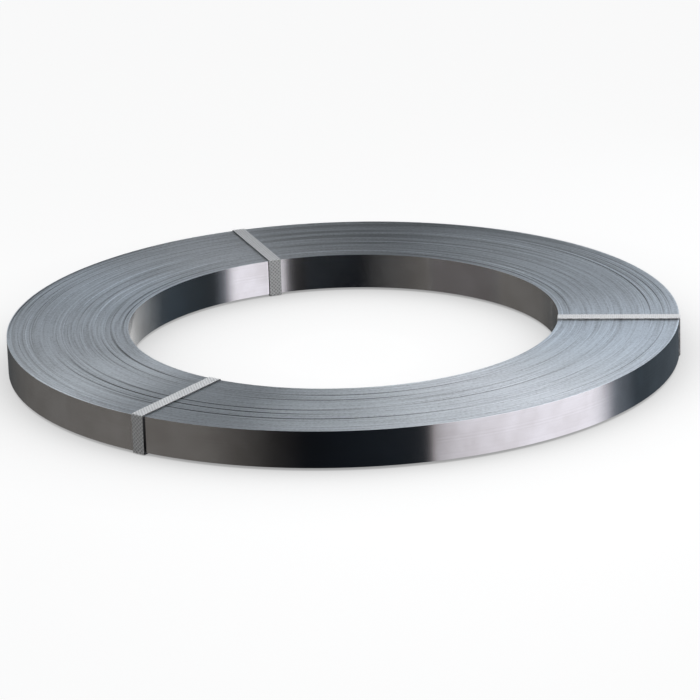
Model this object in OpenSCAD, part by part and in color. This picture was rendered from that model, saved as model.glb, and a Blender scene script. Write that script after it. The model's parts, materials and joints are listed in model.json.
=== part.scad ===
// Ribbon-wound coil of steel strapping, lying flat and held by three plastic strap ties.
// Millimetres. The coil's axis is Z, and Z = 0 is the floor under the ties' welds.

/* [Strapping] */
// Width of the steel strap, which is the height of the coil
strap_width = 25.4; // [13:0.1:32]
// Thickness of the steel strap
strap_thickness = 0.8; // [0.5:0.05:1.2]
// Bevel that slitting and deburring leave along both edges of the strap
edge_bevel = 0.15; // [0.05:0.01:0.2]

/* [Coil] */
// Diameter of the bore, which drops over a dispenser's drum
bore_d = 300; // [200:1:406]
// Number of turns of strap
turns = 105; // [50:1:150]
// Air between one turn and the next
turn_gap = 0.01; // [0.005:0.005:0.05]
// Furthest that a turn's edges stand above or below the coil's mean level
turn_wander = 0.4; // [0.1:0.05:0.6]

/* [Ties] */
// Width of the plastic strap that ties the coil
tie_width = 9; // [5:0.5:16]
// Thickness of that strap
tie_thickness = 0.6; // [0.4:0.05:0.7]
// Slack between a tie and the steel inside it
tie_slack = 0.05; // [0.02:0.01:0.1]
// Length over which a tie's two ends overlap under the coil, where they are welded
weld_length = 28; // [15:1:40]
// Compass angle of the tie at the back
rear_tie_angle = 109; // [80:0.5:150]
// Compass angle of the tie at the left
left_tie_angle = 234.5; // [200:0.5:260]
// Compass angle of the tie at the right
right_tie_angle = 354.5; // [320:0.5:380]

/* [Hidden] */
$fn = 180;

// Radii of the wound coil
bore_r = bore_d / 2;
turn_pitch = strap_thickness + turn_gap;
coil_r = turn_r(turns - 1) + strap_thickness;

// Heights: weld, lower run of the tie, slack, lowest turn, mean level of the lower ends
tie_floor_z = 2 * tie_thickness;
coil_base_z = tie_floor_z + tie_slack + turn_wander;
tie_roof_z = coil_base_z + strap_width + turn_wander + tie_slack;

// A tie folds round the bevelled edge of the coil, so its inner bend follows that bevel
tie_bend_r = edge_bevel + tie_slack;

// Waves along the winding that make up the wander: turns per wave, share of the wander, phase
wander_waves = [[34, 0.45, 20], [9.7, 0.3, 130], [2.63, 0.25, 75]];

// Inner radius of a turn, counted from the bore
function turn_r(i) = bore_r + i * turn_pitch;

// How far a turn stands above the mean level, from a sum of waves
function turn_shift(i) =
    turn_wander * (
        wave(i, wander_waves[0]) + wave(i, wander_waves[1]) + wave(i, wander_waves[2])
    );
function wave(i, w) = w[1] * sin(360 * i / w[0] + w[2]);

// Lower and upper edge of a turn
function low_z(i) = coil_base_z + turn_shift(i);
function high_z(i) = low_z(i) + strap_width;

// Radius half way across the gap outside a turn
function gap_r(i) = turn_r(i) + strap_thickness + turn_gap / 2;

// One end of the coil from the bore outwards: a bevel, then a flat land for each turn, with a
// notch down to the bevels' foot between neighbours. The upper end has way = 1, the lower -1.
function end_line(way) = [
    [bore_r, edge_z(0, way) - way * edge_bevel],
    for (i = [0 : turns - 1]) each [
        [turn_r(i) + edge_bevel, edge_z(i, way)],
        [turn_r(i) + strap_thickness - edge_bevel, edge_z(i, way)],
        if (i < turns - 1) [gap_r(i), notch_z(i, way)]
    ],
    [coil_r, edge_z(turns - 1, way) - way * edge_bevel]
];
function edge_z(i, way) = way > 0 ? high_z(i) : low_z(i);
function notch_z(i, way) =
    way > 0
        ? min(high_z(i), high_z(i + 1)) - edge_bevel
        : max(low_z(i), low_z(i + 1)) + edge_bevel;
function reversed(list) = [for (i = [len(list) - 1 : -1 : 0]) list[i]];

// The wound steel: its turns stand a little high or low of one another on both ends
module strapping_coil() {
    color([0.60, 0.63, 0.66])
        rotate_extrude()
            polygon(concat(end_line(1), reversed(end_line(-1))));
}

// Rectangle with round corners, from its low corner to its high corner
module round_rectangle(low, high, r) {
    translate([low.x + r, low.y])
        square([high.x - low.x - 2 * r, high.y - low.y]);
    translate([low.x, low.y + r])
        square([high.x - low.x, high.y - low.y - 2 * r]);
    for (x = [low.x + r, high.x - r], y = [low.y + r, high.y - r])
        translate([x, y])
            circle(r);
}

// A tie cut along its middle: a loop folded round the coil's section, and under it the other
// end of the strap, which is welded to the lower run
module tie_section() {
    low = [bore_r - tie_slack, tie_floor_z];
    high = [coil_r + tie_slack, tie_roof_z];
    wall = [tie_thickness, tie_thickness];
    difference() {
        round_rectangle(low - wall, high + wall, tie_bend_r + tie_thickness);
        round_rectangle(low, high, tie_bend_r);
    }
    translate([(bore_r + coil_r - weld_length) / 2, 0])
        square([weld_length, tie_thickness]);
}

// One tie: the section turned about the coil's axis, so that it lies on the bore and on the
// outside, and trimmed to the strap's width
module tie(angle) {
    inside_r = bore_r - tie_slack - tie_thickness;
    sweep = 4 * asin(tie_width / (2 * inside_r));
    reach = coil_r + tie_slack + 2 * tie_thickness;
    color([0.76, 0.77, 0.76])
        rotate(angle)
            intersection() {
                rotate(-sweep / 2)
                    rotate_extrude(angle = sweep)
                        tie_section();
                translate([0, -tie_width / 2, -tie_thickness])
                    cube([reach, tie_width, tie_roof_z + 3 * tie_thickness]);
            }
}

module rear_tie() {
    tie(rear_tie_angle);
}

module left_tie() {
    tie(left_tie_angle);
}

module right_tie() {
    tie(right_tie_angle);
}

strapping_coil();
rear_tie();
left_tie();
right_tie();
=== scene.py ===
"""Looks of the steel strapping coil: one wound strap and three embossed ties, in metres."""

import json
import math

import bpy
import numpy as np
from mathutils import Matrix, Vector


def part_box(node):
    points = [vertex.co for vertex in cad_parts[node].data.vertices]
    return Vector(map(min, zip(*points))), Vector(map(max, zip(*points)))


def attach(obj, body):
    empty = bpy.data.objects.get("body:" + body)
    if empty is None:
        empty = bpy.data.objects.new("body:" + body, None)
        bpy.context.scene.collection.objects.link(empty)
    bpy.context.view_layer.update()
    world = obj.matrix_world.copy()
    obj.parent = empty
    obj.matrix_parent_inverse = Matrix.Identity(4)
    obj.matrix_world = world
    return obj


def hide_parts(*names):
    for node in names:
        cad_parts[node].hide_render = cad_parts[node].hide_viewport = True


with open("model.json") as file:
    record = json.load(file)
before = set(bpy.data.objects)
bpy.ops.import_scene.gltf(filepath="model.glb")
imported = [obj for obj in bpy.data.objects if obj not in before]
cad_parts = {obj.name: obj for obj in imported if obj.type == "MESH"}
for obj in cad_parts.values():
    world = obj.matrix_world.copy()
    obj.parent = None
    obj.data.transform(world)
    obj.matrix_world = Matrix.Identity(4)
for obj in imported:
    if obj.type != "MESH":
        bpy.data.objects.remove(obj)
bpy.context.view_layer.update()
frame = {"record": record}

MM = 0.001
MOUNTS = {mount["name"]: mount for mount in frame["record"]["mounts"]}

# Steel strap
STRAP_WIDTH = 25.4 * MM
STRAP_THICKNESS = 0.8 * MM
EDGE_BEVEL = 0.15 * MM
TURN_WANDER = 0.4 * MM

# Plastic ties
TIE_WIDTH = 9 * MM
TIE_THICKNESS = 0.6 * MM
TIE_SLACK = 0.05 * MM
WELD_LENGTH = 28 * MM

# Levels and radii of the wound coil
BORE_R = MOUNTS["eye"]["dims"]["r_mm"] * MM
COIL_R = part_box("strapping_coil")[1].x
TIE_FLOOR_Z = 2 * TIE_THICKNESS
COIL_BASE_Z = TIE_FLOOR_Z + TIE_SLACK + TURN_WANDER
TIE_ROOF_Z = COIL_BASE_Z + STRAP_WIDTH + TURN_WANDER + TIE_SLACK
TIE_BEND_R = EDGE_BEVEL + TIE_SLACK


def tie_angle(name):
    """Compass angle of a tie, from the place where its weld rests on the floor."""
    x, y, _ = MOUNTS[name.replace("_tie", "_rest")]["pos_m"]
    return math.atan2(y, x) % math.tau


# Pieces


def add_mesh(name, points, faces):
    """A smooth mesh, as an object in the scene."""
    mesh = bpy.data.meshes.new(name)
    mesh.from_pydata(points, [], faces, shade_flat=False)
    holder = bpy.data.objects.new(name, mesh)
    bpy.context.scene.collection.objects.link(holder)
    return holder


def add_piece(name, points, faces, node):
    """The mesh of a piece that rides on the part's body and stands for one of its nodes."""
    piece = add_mesh(name, points, faces)
    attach(piece, "root")
    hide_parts(node)
    return piece.data


def mark_sharp(mesh, is_sharp):
    """Marks the edges for which is_sharp, called with both ends' point numbers, is true."""
    ends = np.empty(2 * len(mesh.edges), np.int32)
    mesh.edges.foreach_get("vertices", ends)
    sharp = is_sharp(ends[0::2], ends[1::2])
    mesh.attributes.new("sharp_edge", "BOOLEAN", "EDGE").data.foreach_set("value", sharp)


def note_on_points(mesh, name, values):
    """Gives each point of a mesh a number that its material reads."""
    mesh.attributes.new(name, "FLOAT", "POINT").data.foreach_set("value", values.astype(np.float32))


def smooth_noise(x, knots_per_unit, rng):
    """Random values at even knots along x, joined by smooth steps."""
    place = x * knots_per_unit
    knot = np.floor(place).astype(int)
    part = place - knot
    part = part * part * (3 - 2 * part)
    values = rng.standard_normal(knot.max() + 2)
    return values[knot] * (1 - part) + values[knot + 1] * part


# The strap is wound from its head, under the rear tie's bore leg, to its tail, beside the left tie,
# a little loosely: with so many turns fewer than would fit if they were pressed together
SLACK_TURNS = 2
HEAD = tie_angle("rear_tie")
TAIL = tie_angle("left_tie") + math.asin(TIE_WIDTH / 2 / COIL_R)
FULL_TURNS = round((COIL_R - BORE_R) / STRAP_THICKNESS) - SLACK_TURNS
LENGTH_TURNS = FULL_TURNS + (TAIL - HEAD) / math.tau
TURN_PITCH = (COIL_R - BORE_R - STRAP_THICKNESS) / LENGTH_TURNS
STEPS_PER_TURN = 144
WINDING_SEED = 7

# Places of the strap's two materials in its list
STRAP_EDGE, STRAP_FACE = 0, 1

# Height of the strap over the coil's base, in shares of the wander: its mean, its waves, each with
# turns per wave, share and phase, and its noise, with knots per turn. The limit keeps it in the wander.
MEAN_RISE = 0.5
WANDER_WAVES = ((34.0, 0.12, 0.35), (9.7, 0.06, 2.27))
WANDER_NOISE = 0.07
WANDER_KNOTS = 4.3
RISE_LIMIT = 0.97 * TURN_WANDER

# The slips also colour the strap's edges: painted shade on sunk turns, painted highlight on raised ones
# Stretches where turns have slipped below their neighbours, or above them where the slip is negative:
# share of the way from the bore to the outside, middle and half length in degrees, slip, turns
SLIPS = (
    # Both ends of the strap
    (0.00, 109, 400, -0.4, 1),
    (1.00, 235.5, 540, -0.6, 1),
    # Right
    (0.04, 20, 40, -0.4, 1),
    (0.87, 20, 30, 0.8, 1),
    (0.94, 22, 30, 0.6, 1),
    (0.09, 24, 34, 0.5, 1),
    (0.76, 24, 36, 1.0, 1),
    (0.785, 24, 34, -0.6, 1),
    (0.845, 24, 28, -0.5, 1),
    (0.81, 26, 28, 0.5, 1),
    (0.905, 26, 30, -0.5, 1),
    (0.16, 30, 30, 0.4, 1),
    (0.12, 32, 40, -0.4, 1),
    # Back right
    (0.55, 40, 36, 0.4, 1),
    (0.80, 44, 32, 0.2, 6),
    (0.06, 50, 40, 0.5, 2),
    (0.22, 50, 36, 0.4, 2),
    (0.37, 50, 40, 0.4, 1),
    (0.15, 60, 34, 0.5, 1),
    (0.67, 60, 26, -0.6, 2),
    (0.90, 60, 36, 0.3, 9),
    (0.61, 62, 30, 0.4, 2),
    (0.44, 66, 34, 0.4, 2),
    # Back
    (0.39, 74, 26, -0.5, 2),
    (0.65, 78, 30, -0.5, 1),
    (0.12, 84, 26, -0.8, 2),
    (0.50, 84, 24, -0.5, 1),
    (0.29, 86, 14, -0.6, 1),
    (0.54, 91, 26, 0.35, 8),
    (0.84, 91, 26, 0.3, 9),
    (0.33, 92, 24, 0.3, 6),
    (0.68, 92, 25, 0.3, 8),
    # Back left
    (0.22, 138, 28, -0.5, 2),
    (0.60, 140, 30, 0.5, 1),
    (0.85, 142, 30, 0.4, 1),
    (0.08, 146, 34, 0.6, 2),
    (0.16, 146, 34, 0.4, 2),
    (0.47, 148, 28, -0.6, 2),
    (0.92, 148, 36, 0.6, 1),
    (0.34, 150, 24, 0.5, 2),
    (0.42, 150, 40, 0.4, 1),
    (0.70, 150, 28, -0.5, 1),
    (0.78, 150, 34, 0.5, 1),
    (0.96, 150, 34, 0.3, 4),
    (0.99, 150, 34, 1.0, 2),
    (0.29, 156, 28, -0.5, 2),
    (0.04, 160, 40, 0.5, 1),
    # Front left
    (0.14, 212, 30, 0.6, 2),
    (0.23, 214, 28, 0.6, 1),
    (0.30, 220, 26, 0.5, 1),
    (0.67, 220, 26, 0.5, 1),
    (0.59, 236, 38, 1.0, 2),
    (0.50, 238, 40, 0.7, 2),
    # Front
    (0.70, 256, 40, 0.9, 2),
    (0.26, 270, 28, 0.7, 2),
    (0.15, 280, 36, 0.6, 2),
    (0.36, 296, 30, 0.25, 2),
    (0.47, 300, 36, 0.3, 2),
    (0.70, 308, 24, 0.3, 1),
)

# How far down a full slip takes the strap, and how many times as fast as in a plain triangle it comes
SLIP_DROP = 0.45 * MM
SLIP_ONSET = 1.6

# Short loose stretches at random: their number, shortest and longest half length in turns, usual slip
LOOSE_STRETCHES = 220
LOOSE_HALF_TURNS = (0.02, 0.10)
LOOSE_SLIP = 0.16


def wander(turn, rng):
    """Height of the strap above the coil's base, along its length."""
    level = sum(share * np.sin(math.tau * turn / wave + phase) for wave, share, phase in WANDER_WAVES)
    return TURN_WANDER * (MEAN_RISE + level + WANDER_NOISE * smooth_noise(turn, WANDER_KNOTS, rng))


def slipped(turn, rng):
    """How far the strap has slipped along its length: 1 below its neighbours, -1 above them."""
    slip = np.zeros_like(turn)

    def add(middle, half, amount):
        first, last = np.searchsorted(turn, (middle - half, middle + half))
        near = 1 - np.abs(turn[first:last] - middle) / half
        slip[first:last] += amount * np.clip(SLIP_ONSET * near, 0, 1)

    for share, middle, half, amount, turns in SLIPS:
        part = (math.radians(middle) - HEAD) / math.tau % 1
        for k in range(turns):
            add(round(share * LENGTH_TURNS - part) + part + k, half / 360, amount)
    for middle in rng.uniform(0, LENGTH_TURNS, LOOSE_STRETCHES):
        add(middle, rng.uniform(*LOOSE_HALF_TURNS), LOOSE_SLIP * rng.standard_normal())
    # The tail's last ring counts as fully slipped, which sinks it and paints its cut end with dark shade
    slip[-1] = 1
    return np.clip(slip, -1, 1)


def wound_strap():
    """The whole strap as one closed ribbon that winds outwards from the bore."""
    turn = np.linspace(0, LENGTH_TURNS, round(LENGTH_TURNS * STEPS_PER_TURN) + 1)
    angle = HEAD + math.tau * turn
    rng = np.random.default_rng(WINDING_SEED)
    slip = slipped(turn, rng)
    rise = np.clip(wander(turn, rng) - SLIP_DROP * slip, -RISE_LIMIT, RISE_LIMIT)
    section = np.array([
        (0, 0),
        (STRAP_THICKNESS, 0),
        (STRAP_THICKNESS, STRAP_WIDTH - EDGE_BEVEL),
        (STRAP_THICKNESS - EDGE_BEVEL, STRAP_WIDTH),
        (EDGE_BEVEL, STRAP_WIDTH),
        (0, STRAP_WIDTH - EDGE_BEVEL),
    ])
    kinds = [STRAP_EDGE, STRAP_FACE, STRAP_EDGE, STRAP_EDGE, STRAP_EDGE, STRAP_FACE]
    sides = len(section)
    r = (BORE_R + TURN_PITCH * turn)[:, None] + section[:, 0]
    z = (COIL_BASE_Z + rise)[:, None] + section[:, 1]
    rings = np.stack([r * np.cos(angle)[:, None], r * np.sin(angle)[:, None], z], axis=2)
    start = np.arange(len(turn) - 1)[:, None] * sides
    side = np.arange(sides)
    beside = (side + 1) % sides
    quads = np.stack([start + side, start + beside, start + sides + beside, start + sides + side], axis=2)
    last = (len(turn) - 1) * sides
    caps = [list(range(sides))[::-1], [last + k for k in range(sides)]]
    faces = quads.reshape(-1, 4).tolist() + caps
    mesh = add_piece("wound_strap", rings.reshape(-1, 3).tolist(), faces, "strapping_coil")
    mark_sharp(mesh, lambda a, b: a % sides == b % sides)
    note_on_points(mesh, "turn", np.repeat(turn, sides))
    note_on_points(mesh, "slip", np.repeat(slip, sides))
    mesh.materials.append(strap_edge_steel())
    mesh.materials.append(strap_face_steel())
    index = kinds * (len(turn) - 1) + [STRAP_EDGE] * len(caps)
    mesh.polygons.foreach_set("material_index", index)


# A tie is a strap embossed on its outer face with a waffle, whose pits are steep and stay clear of
# its slit sides
EMBOSS_PITCH = 2.7 * MM
EMBOSS_DEPTH = 0.2 * MM
PIT_STEEPNESS = 2.2
RIB_LEVEL = 0.6
PLAIN_MARGIN = 0.5 * MM
TIE_STEP = 0.3 * MM
TIE_COLUMNS = round(TIE_WIDTH / TIE_STEP) + 1
BEND_STEPS = 6

# Places of a tie's two materials in its list
TIE_FACE, TIE_SIDE = 0, 1

# Painted shade on a tie's outer leg, where 1 is as much as in its pits, and how squarely
# a place faces outwards to count as that leg
OUTER_LEG_PAINTED_SHADE = 0.35
OUTER_LEG_FACING = 0.9

# Darkest and palest tone of the slit sides of each tie, a painted shade set tie by tie
SLIT_SIDE_PAINTED_SHADES = {"rear_tie": (0.02, 0.09), "left_tie": (0.05, 0.16), "right_tie": (0.30, 0.64)}


def tie_path(angle):
    """Inner face of a tie's loop, tight round the winding: radius and height, and outward direction."""
    from_head = (angle - HEAD) % math.tau / math.tau
    to_tail = (TAIL - angle) % math.tau / math.tau
    low = np.array([BORE_R + TURN_PITCH * from_head - TIE_SLACK, TIE_FLOOR_Z])
    high = np.array([COIL_R - TURN_PITCH * to_tail + TIE_SLACK, TIE_ROOF_Z])
    centres = [
        (low[0] + TIE_BEND_R, low[1] + TIE_BEND_R),
        (high[0] - TIE_BEND_R, low[1] + TIE_BEND_R),
        (high[0] - TIE_BEND_R, high[1] - TIE_BEND_R),
        (low[0] + TIE_BEND_R, high[1] - TIE_BEND_R),
    ]
    places, outward = [], []
    for corner, centre in enumerate(centres):
        centre = np.array(centre)
        bend = math.pi + corner * math.pi / 2 + np.linspace(0, math.pi / 2, BEND_STEPS + 1)
        normals = np.stack([np.cos(bend), np.sin(bend)], axis=1)
        places.append(centre + TIE_BEND_R * normals)
        outward.append(normals)
        run = np.array(centres[(corner + 1) % 4]) - centre
        steps = int(np.linalg.norm(run) / TIE_STEP)
        share = np.linspace(0, 1, steps + 1)[1:-1, None]
        places.append(places[-1][-1] + share * run)
        outward.append(np.repeat(normals[-1:], steps - 1, axis=0))
    return np.concatenate(places), np.concatenate(outward)


def emboss(along, across):
    """Depth of the waffle pressed into the tie: 0 on its ribs, 1 in its pits."""
    u = np.sin(math.pi * (along + across) / EMBOSS_PITCH)
    v = np.sin(math.pi * (along - across) / EMBOSS_PITCH)
    return np.clip(PIT_STEEPNESS * np.abs(u * v) - RIB_LEVEL, 0, 1)


def tie_loop(angle):
    """Rings of points along a tie's loop, outer face first, then inner corners, and their painted shade.
    """
    inner, outward = tie_path(angle)
    middle = inner + 0.5 * TIE_THICKNESS * outward
    steps = np.linalg.norm(np.roll(middle, -1, axis=0) - middle, axis=1)
    along = np.concatenate([[0], np.cumsum(steps)[:-1]])
    across = np.linspace(-TIE_WIDTH / 2, TIE_WIDTH / 2, TIE_COLUMNS)
    margin = np.clip((TIE_WIDTH / 2 - np.abs(across)) / PLAIN_MARGIN, 0, 1)
    pit = emboss(along[:, None], across[None, :]) * margin[None, :]
    thickness = TIE_THICKNESS - EMBOSS_DEPTH * pit
    outer = inner[:, None, :] + thickness[:, :, None] * outward[:, None, :]
    r = np.concatenate([outer[:, :, 0], np.repeat(inner[:, :1], 2, axis=1)], axis=1)
    z = np.concatenate([outer[:, :, 1], np.repeat(inner[:, 1:], 2, axis=1)], axis=1)
    y = np.concatenate([across, [TIE_WIDTH / 2, -TIE_WIDTH / 2]])[None, :]
    x = np.sqrt(r * r - y * y)
    rings = np.stack([x, np.broadcast_to(y, x.shape), z], axis=2)
    on_outer_leg = outward[:, :1] > OUTER_LEG_FACING
    # Painted shade, deepest in the pits of the waffle and laid over the whole outer leg
    painted_face_shade = pit + OUTER_LEG_PAINTED_SHADE * on_outer_leg
    painted_shade = np.concatenate([painted_face_shade, np.zeros((len(inner), 2))], axis=1)
    return rings, painted_shade


def weld_pad():
    """The other end of the tie's strap, welded under its lower run, as a plain closed block."""
    middle = (BORE_R + COIL_R) / 2
    half = np.array([WELD_LENGTH / 2, TIE_WIDTH / 2])
    corners = np.array([(-1, -1), (1, -1), (1, 1), (-1, 1)]) * half + (middle, 0)
    low = [(x, y, 0) for x, y in corners]
    high = [(x, y, TIE_THICKNESS) for x, y in corners]
    walls = [[k, (k + 1) % 4, 4 + (k + 1) % 4, 4 + k] for k in range(4)]
    return np.array(low + high), [[3, 2, 1, 0], [4, 5, 6, 7]] + walls


def embossed_tie(name, plastic):
    """A tie: a closed loop of strap round the coil's section, and its welded end underneath."""
    angle = tie_angle(name)
    rings, painted_shade = tie_loop(angle)
    count, ring, _ = rings.shape
    loop_points = count * ring
    start = np.arange(count)[:, None] * ring
    following = (np.arange(count)[:, None] + 1) % count * ring
    side = np.arange(ring)
    beside = (side + 1) % ring
    quads = np.stack([start + side, following + side, following + beside, start + beside], axis=2)
    pad_points, pad_faces = weld_pad()
    faces = quads.reshape(-1, 4).tolist() + [[k + loop_points for k in face] for face in pad_faces]
    points = np.concatenate([rings.reshape(-1, 3), pad_points])
    turned = points @ np.array(Matrix.Rotation(angle, 3, "Z")).T
    mesh = add_piece(name + "_strap", turned.tolist(), faces, name)
    corners = (0, TIE_COLUMNS - 1, TIE_COLUMNS, TIE_COLUMNS + 1)

    def is_sharp(a, b):
        return (a >= loop_points) | ((a % ring == b % ring) & np.isin(a % ring, corners))

    mark_sharp(mesh, is_sharp)
    note_on_points(mesh, "painted_shade", np.concatenate([painted_shade.ravel(), np.zeros(len(pad_points))]))
    mesh.materials.append(plastic)
    mesh.materials.append(tie_slit_side(name))
    kinds = [TIE_FACE] * (TIE_COLUMNS - 1) + [TIE_SIDE, TIE_FACE, TIE_SIDE]
    index = kinds * count + [TIE_FACE, TIE_FACE] + [TIE_SIDE] * 4
    mesh.polygons.foreach_set("material_index", index)


# Materials


def new_material(name):
    """An empty material with its principled shader, and a function that adds a node to it."""
    material = bpy.data.materials.new(name)
    material.use_nodes = True
    tree = material.node_tree
    shader = tree.nodes["Principled BSDF"]

    def add(kind, **settings):
        return add_node(tree, kind, **settings)

    return material, tree, shader, add


def add_node(tree, kind, **settings):
    """Adds a shader node: each input takes a value or a link, and other settings set the node."""
    node = tree.nodes.new("ShaderNode" + kind)
    inputs = settings.pop("inputs", {})
    for key, value in settings.items():
        setattr(node, key, value)
    for key, value in inputs.items():
        if isinstance(value, bpy.types.NodeSocket):
            tree.links.new(value, node.inputs[key])
        else:
            node.inputs[key].default_value = value
    return node


def set_ramp(node, stops):
    """Gives a colour ramp its stops, each a place and a colour or a grey."""
    ramp = node.color_ramp
    while len(ramp.elements) < len(stops):
        ramp.elements.new(1.0)
    for element, (place, colour) in zip(ramp.elements, stops):
        element.position = place
        grey = isinstance(colour, float)
        element.color = (colour, colour, colour, 1) if grey else (*colour, 1)


def multiply(add, colour, shade):
    """One colour darkened or lightened by another."""
    mix = add("Mix", data_type="RGBA", blend_type="MULTIPLY", inputs={0: 1.0, 6: colour, 7: shade})
    return mix.outputs[2]


def add_grain(add, shader):
    """Lengthwise grain: the metal's highlights spread across the strap's run."""
    tangent = add("Tangent", direction_type="RADIAL", axis="Z")
    shader.id_data.links.new(tangent.outputs["Tangent"], shader.inputs["Tangent"])
    shader.inputs["Anisotropic Rotation"].default_value = 0.25


def strap_edge_steel():
    """The strap's slit edges, which change from turn to turn and along each turn."""
    material, tree, shader, add = new_material("strap_edge_steel")
    turn = add("Attribute", attribute_name="turn").outputs["Fac"]
    arcs = add(
        "TexNoise",
        noise_dimensions="1D",
        inputs={"W": turn, "Scale": 9.3, "Detail": 3.0, "Roughness": 0.6},
    )
    place = add("TexCoord").outputs["Object"]
    grain = add("TexNoise", inputs={"Vector": place, "Scale": 520.0, "Detail": 2.0})
    toned = add("Mix", inputs={0: 0.4, 2: arcs.outputs["Fac"], 3: grain.outputs["Fac"]})
    tone = add("ValToRGB", inputs={"Fac": toned.outputs[0]})
    set_ramp(tone, [
        (0.30, (0.36, 0.38, 0.40)),
        (0.50, (0.55, 0.58, 0.61)),
        (0.70, (0.66, 0.70, 0.73)),
    ])
    slip = add("MapRange", inputs={
        "Value": add("Attribute", attribute_name="slip").outputs["Fac"],
        "From Min": -1.0,
        "From Max": 1.0,
    })
    # Painted shade on slipped turns and painted highlight on raised ones, multiplied into the edges'
    # colour
    shade = add("ValToRGB", inputs={"Fac": slip.outputs["Result"]})
    set_ramp(shade, [(0.0, 1.5), (0.5, 1.0), (1.0, 0.16)])
    colour = multiply(add, tone.outputs["Color"], shade.outputs["Color"])
    tree.links.new(colour, shader.inputs["Base Color"])
    rough = add("MapRange", inputs={"Value": arcs.outputs["Fac"], "To Min": 0.55, "To Max": 0.42})
    tree.links.new(rough.outputs["Result"], shader.inputs["Roughness"])
    shader.inputs["Metallic"].default_value = 1.0
    shader.inputs["Anisotropic"].default_value = 0.7
    add_grain(add, shader)
    return material


def strap_face_steel():
    """The strap's bright rolled faces, a little cloudy, with faint lines along the rolling direction."""
    material, tree, shader, add = new_material("strap_face_steel")
    place = add("TexCoord").outputs["Object"]
    level = add("SeparateXYZ", inputs={"Vector": place}).outputs["Z"]
    lines = add("TexNoise", noise_dimensions="1D", inputs={"W": level, "Scale": 900.0, "Detail": 3.0})
    cloud = add("TexNoise", inputs={"Vector": place, "Scale": 45.0, "Detail": 3.0})
    mixed = add("Mix", inputs={0: 0.8, 2: lines.outputs["Fac"], 3: cloud.outputs["Fac"]})
    tone = add("ValToRGB", inputs={"Fac": mixed.outputs[0]})
    set_ramp(tone, [(0.35, (0.69, 0.68, 0.675)), (0.65, (0.81, 0.81, 0.815))])
    tree.links.new(tone.outputs["Color"], shader.inputs["Base Color"])
    rough = add("MapRange", inputs={"Value": mixed.outputs[0], "To Min": 0.18, "To Max": 0.16})
    tree.links.new(rough.outputs["Result"], shader.inputs["Roughness"])
    shader.inputs["Metallic"].default_value = 1.0
    shader.inputs["Anisotropic"].default_value = 0.85
    add_grain(add, shader)
    return material


def embossed_plastic():
    """Pale grey embossed polypropylene, a little cloudy, with painted shade in its pits and on its outer
    leg.
    """
    material, tree, shader, add = new_material("embossed_plastic")
    place = add("TexCoord").outputs["Object"]
    cloud = add("TexNoise", inputs={"Vector": place, "Scale": 420.0, "Detail": 3.0})
    tone = add("ValToRGB", inputs={"Fac": cloud.outputs["Fac"]})
    set_ramp(tone, [(0.3, 0.90), (0.7, 0.98)])
    # Painted shade from the tie's points, darkening the pits and the outer leg
    painted_shade = add("ValToRGB", inputs={"Fac": add("Attribute", attribute_name="painted_shade").outputs["Fac"]})
    set_ramp(painted_shade, [(0.2, 1.0), (0.8, 0.65)])
    colour = multiply(add, tone.outputs["Color"], painted_shade.outputs["Color"])
    tree.links.new(colour, shader.inputs["Base Color"])
    shader.inputs["Roughness"].default_value = 0.55
    shader.inputs["Specular IOR Level"].default_value = 0.25
    return material


def tie_slit_side(name):
    """The slit sides of a tie's strap, darkened by painted shade."""
    material, tree, shader, add = new_material(name + "_slit_side")
    place = add("TexCoord").outputs["Object"]
    painted_shade = add("TexNoise", inputs={"Vector": place, "Scale": 300.0, "Detail": 3.0})
    # Painted shade on the slit sides, darker or paler for each tie
    tone = add("ValToRGB", inputs={"Fac": painted_shade.outputs["Fac"]})
    darkest, palest = SLIT_SIDE_PAINTED_SHADES[name]
    set_ramp(tone, [(0.35, darkest), (0.7, palest)])
    tree.links.new(tone.outputs["Color"], shader.inputs["Base Color"])
    shader.inputs["Roughness"].default_value = 0.6
    return material


# Stage: paper sweep, studio surround, lamps and camera
SWEEP_R = 6.0
SWEEP_BEND_R = 1.0
SWEEP_BEND_STEPS = 8
SWEEP_HEIGHT = 5.0
SWEEP_STEPS = 96
SHADOW_REACH = 0.1


def add_sweep():
    """A round white paper floor that curves up into a wall, with a painted soft shadow. Only the camera
    sees it.
    """
    bend = np.linspace(0, math.pi / 2, SWEEP_BEND_STEPS + 1)
    flat_r = SWEEP_R - SWEEP_BEND_R
    profile = [(flat_r + SWEEP_BEND_R * math.sin(a), SWEEP_BEND_R * (1 - math.cos(a))) for a in bend]
    profile.append((SWEEP_R, SWEEP_HEIGHT))
    angle = np.arange(SWEEP_STEPS) / SWEEP_STEPS * math.tau
    points = [(r * math.cos(a), r * math.sin(a), z) for r, z in profile for a in angle]
    faces = [list(range(SWEEP_STEPS))]
    for ring in range(len(profile) - 1):
        for k in range(SWEEP_STEPS):
            here = ring * SWEEP_STEPS + k
            beside = ring * SWEEP_STEPS + (k + 1) % SWEEP_STEPS
            faces.append([here, here + SWEEP_STEPS, beside + SWEEP_STEPS, beside])
    sweep = add_mesh("sweep", points, faces)
    material, tree, shader, add = new_material("white_paper")
    shader.inputs["Base Color"].default_value = (0.12, 0.12, 0.12, 1)
    shader.inputs["Roughness"].default_value = 0.8
    shader.inputs["Specular IOR Level"].default_value = 0.0
    shader.inputs["Emission Color"].default_value = (1, 1, 1, 1)
    # Painted shadow: the paper's glow dims where the coil stands close over it
    openness = add("AmbientOcclusion", samples=16, inputs={"Distance": SHADOW_REACH}).outputs["AO"]
    glow_with_painted_shadow = add("MapRange", inputs={"Value": openness, "To Min": 0.30, "To Max": 0.92})
    tree.links.new(glow_with_painted_shadow.outputs["Result"], shader.inputs["Emission Strength"])
    sweep.data.materials.append(material)
    sweep.visible_diffuse = False
    sweep.visible_glossy = False
    sweep.visible_shadow = False


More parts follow.
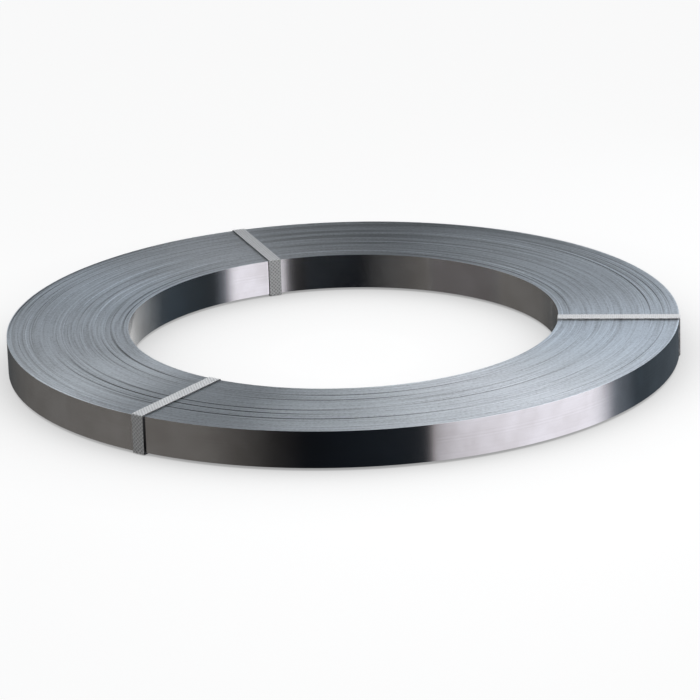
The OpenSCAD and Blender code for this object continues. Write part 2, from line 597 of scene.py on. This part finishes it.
# Heights of a ray, as the sine of its elevation, between which the surround's bands blend
GROUND_TO_HORIZON = (0.0, 0.06)
HORIZON_TO_UPPER = (0.26, 0.40)
UPPER_TO_ZENITH = (0.75, 0.92)
ZENITH = (0.05, 0.05, 0.05, 1)


def add_world():
    """A studio surround by compass angle and height: dark at the front and right, bright elsewhere."""
    world = bpy.data.worlds.new("studio")
    bpy.context.scene.world = world
    world.use_nodes = True
    tree = world.node_tree
    background = tree.nodes["Background"]
    direction = add_node(tree, "TexCoord").outputs["Generated"]
    ray = add_node(tree, "SeparateXYZ", inputs={"Vector": direction})
    angle = add_node(tree, "Math", operation="ARCTAN2", inputs={0: ray.outputs["Y"], 1: ray.outputs["X"]})
    compass = add_node(
        tree,
        "MapRange",
        inputs={"Value": angle.outputs["Value"], "From Min": -math.pi, "From Max": math.pi},
    )

    def band(stops):
        node = add_node(tree, "ValToRGB", inputs={"Fac": compass.outputs["Result"]})
        set_ramp(node, stops)
        return node.outputs["Color"]

    def blend(heights, below, above):
        rise = add_node(
            tree,
            "MapRange",
            interpolation_type="SMOOTHSTEP",
            inputs={"Value": ray.outputs["Z"], "From Min": heights[0], "From Max": heights[1]},
        )
        share = rise.outputs["Result"]
        mix = add_node(tree, "Mix", data_type="RGBA", inputs={0: share, 6: below, 7: above})
        return mix.outputs[2]

    # Each band goes from the left through the front, the right and the back to the left again.
    # The coil's walls mirror the ground.
    ground = band([
        (0.00, (0.150, 0.142, 0.134)),
        (0.11, (0.135, 0.127, 0.119)),
        (0.18, (0.022, 0.021, 0.021)),
        (0.21, (0.004, 0.005, 0.007)),
        (0.29, (0.005, 0.008, 0.012)),
        (0.46, (0.015, 0.021, 0.026)),
        (0.56, (0.038, 0.051, 0.064)),
        (0.70, (0.075, 0.090, 0.105)),
        (0.80, (0.065, 0.068, 0.070)),
        (0.88, (0.135, 0.130, 0.124)),
        (1.00, (0.150, 0.142, 0.134)),
    ])
    horizon = band([
        (0.00, 1.40),
        (0.19, 0.02),
        (0.45, 0.02),
        (0.685, (0.04, 0.05, 0.06)),
        (0.72, (1.26, 1.40, 1.58)),
        (0.755, (0.78, 0.84, 0.92)),
        (0.79, 1.40),
        (0.825, 0.17),
        (1.00, 1.40),
    ])
    upper = band([
        (0.00, 0.22),
        (0.08, (0.79, 0.83, 0.87)),
        (0.16, 0.03),
        (0.56, 0.03),
        (0.64, (0.99, 1.09, 1.19)),
        (0.72, 0.03),
        (0.80, 0.03),
        (0.88, (0.84, 0.90, 0.97)),
        (0.96, 0.11),
        (1.00, 0.22),
    ])
    sky = blend(GROUND_TO_HORIZON, ground, horizon)
    sky = blend(HORIZON_TO_UPPER, sky, upper)
    sky = blend(UPPER_TO_ZENITH, sky, ZENITH)
    tree.links.new(sky, background.inputs["Color"])
    background.inputs["Strength"].default_value = 1.0


def add_panel(name, centre, facing, size, radiance, colour=(1, 1, 1)):
    """A softbox of a given width, height and brightness, facing along a direction."""
    width, height = size
    lamp = bpy.data.lights.new(name, "AREA")
    lamp.shape = "RECTANGLE"
    lamp.size = width
    lamp.size_y = height
    lamp.energy = radiance * math.pi * width * height
    lamp.color = colour
    lamp.use_nodes = True
    panel = bpy.data.objects.new(name, lamp)
    panel.location = centre
    panel.rotation_euler = Vector(facing).to_track_quat("-Z", "Y").to_euler()
    panel.visible_camera = False
    bpy.context.scene.collection.objects.link(panel)
    return panel


def grade_panel(panel, stops):
    """Lets a softbox change its brightness and tint across its width."""
    tree = panel.data.node_tree
    spot = add_node(tree, "NewGeometry").outputs["Parametric"]
    place = add_node(tree, "SeparateXYZ", inputs={"Vector": spot})
    tone = add_node(tree, "ValToRGB", inputs={"Fac": place.outputs["X"]})
    set_ramp(tone, stops)
    tree.links.new(tone.outputs["Color"], tree.nodes["Emission"].inputs["Color"])


def add_mirrored_panel(name, centre, facing, size, radiance, stops):
    """A graded softbox that shows in the steel and lights nothing else."""
    panel = add_panel(name, centre, facing, size, radiance)
    grade_panel(panel, stops)
    panel.visible_diffuse = False


def black_card():
    """Matte black, for flags."""
    material, _, shader, _ = new_material("black_card")
    shader.inputs["Base Color"].default_value = (0.01, 0.01, 0.01, 1)
    shader.inputs["Specular IOR Level"].default_value = 0.0
    return material


def add_flag(name, ends, low, high, material):
    """A black card on edge that shows only in the steel, where it hides what is behind it."""
    points = [(x, y, z) for z in (low, high) for x, y in ends]
    flag = add_mesh(name, points, [[0, 1, 3, 2]])
    flag.data.materials.append(material)
    flag.visible_camera = False
    flag.visible_diffuse = False
    flag.visible_shadow = False


def add_lamps():
    """Softboxes, and low panels and flags for the walls' reflections, some of them under the floor."""
    add_mirrored_panel(
        "key_panel",
        centre=(0.689, -0.9802, -0.15),
        facing=(-0.9589, -0.2838, 0),
        size=(1.9805, 1.7),
        radiance=1.1,
        stops=[
            (0.00, (0.10, 0.075, 0.075)),
            (0.04, (0.33, 0.285, 0.28)),
            (0.12, (0.42, 0.40, 0.42)),
            (0.929, (0.94, 0.91, 0.98)),
            (0.942, (0.80, 0.78, 0.84)),
            (0.955, (0.44, 0.43, 0.47)),
            (0.967, (0.12, 0.13, 0.15)),
            (1.00, (0.01, 0.01, 0.012)),
        ],
    )
    softbox = add_panel(
        "softbox",
        centre=(0.27, -0.265, 0.32),
        facing=(-0.715, 0.313, -0.62),
        size=(1.15, 0.30),
        radiance=1.0,
    )
    grade_panel(softbox, [(0.0, 0.38), (0.333, 0.95), (0.667, 1.81), (1.0, 0.83)])
    add_panel(
        "fill_card",
        centre=(0.40, 0.38, 0.24),
        facing=(-0.55, -0.75, -0.35),
        size=(0.35, 0.22),
        radiance=0.9,
        colour=(0.88, 0.97, 1.1),
    )
    add_panel(
        "front_card",
        centre=(0.02, -0.22, 0.28),
        facing=(0, 0.15, -1),
        size=(0.30, 0.20),
        radiance=1.4,
        colour=(0.97, 1.0, 1.03),
    )
    add_panel(
        "left_card",
        centre=(-0.45, 0.10, 0.26),
        facing=(0.8, -0.3, -0.5),
        size=(0.35, 0.22),
        radiance=0.72,
    )
    add_mirrored_panel(
        "bore_card",
        centre=(-0.0035, 0.3325, -0.12),
        facing=(-0.9, -0.436, 0.05),
        size=(0.348, 0.17),
        radiance=0.75,
        stops=[(0.0, 0.0), (1.0, (1.0, 0.98, 0.95))],
    )
    add_mirrored_panel(
        "bore_fill",
        centre=(-0.1175, -0.157, -0.095),
        facing=(0.5, 0.85, 0.1),
        size=(0.16, 0.14),
        radiance=0.05,
        stops=[(0.0, 0.0), (0.3, 0.5), (0.5, 1.0), (0.75, 0.7), (1.0, 0.0)],
    )
    black = black_card()
    add_flag("key_flag", [(0.0741, -0.1351), (0.1121, -0.1138)], -0.14, -0.02, black)
    add_mirrored_panel(
        "bore_shade",
        centre=(-0.18, 0.0275, -0.08),
        facing=(1, 0, 0),
        size=(0.205, 0.16),
        radiance=0.1,
        stops=[(0.0, 1.3), (0.16, (1.08, 1.0, 1.0)), (0.9, (1.06, 0.98, 0.98)), (1.0, 1.15)],
    )
    add_flag("left_flag", [(-0.186, 0.131), (-0.186, -0.078)], -0.165, 0.0, black)


# Camera, from a fit to the photograph: its angles in degrees, its distance, its focal length in pixels
CAMERA_ELEVATION = 18.565
CAMERA_DISTANCE = 2.7884
CAMERA_FOCAL_PX = 3973.6
CAMERA_ROLL = -1.856
CAMERA_YAW = 0.0861
CAMERA_PITCH = 0.0721
IMAGE_PX = 700
SENSOR = 36.0


def add_camera():
    """The camera in front of the coil, turned a little off its centre and rolled as the photograph is."""
    elevation = math.radians(CAMERA_ELEVATION)
    eye = CAMERA_DISTANCE * Vector((0, -math.cos(elevation), math.sin(elevation)))
    ahead = -eye.normalized()
    right = ahead.cross(Vector((0, 0, 1))).normalized()
    up = right.cross(ahead)
    ahead = ahead + right * math.tan(math.radians(CAMERA_YAW)) + up * math.tan(math.radians(CAMERA_PITCH))
    ahead.normalize()
    right = ahead.cross(Vector((0, 0, 1))).normalized()
    up = right.cross(ahead)
    roll = math.radians(CAMERA_ROLL)
    side = right * math.cos(roll) + up * math.sin(roll)
    top = up * math.cos(roll) - right * math.sin(roll)
    data = bpy.data.cameras.new("camera")
    data.sensor_width = SENSOR
    data.lens = CAMERA_FOCAL_PX / IMAGE_PX * SENSOR
    camera = bpy.data.objects.new("camera", data)
    bpy.context.scene.collection.objects.link(camera)
    turn = Matrix((side, top, -ahead)).transposed().to_4x4()
    camera.matrix_world = Matrix.Translation(eye) @ turn
    bpy.context.scene.camera = camera


wound_strap()
pale_plastic = embossed_plastic()
for tie_name in ("rear_tie", "left_tie", "right_tie"):
    embossed_tie(tie_name, pale_plastic)
add_sweep()
add_world()
add_lamps()
add_camera()
bpy.context.scene.view_settings.view_transform = "Standard"
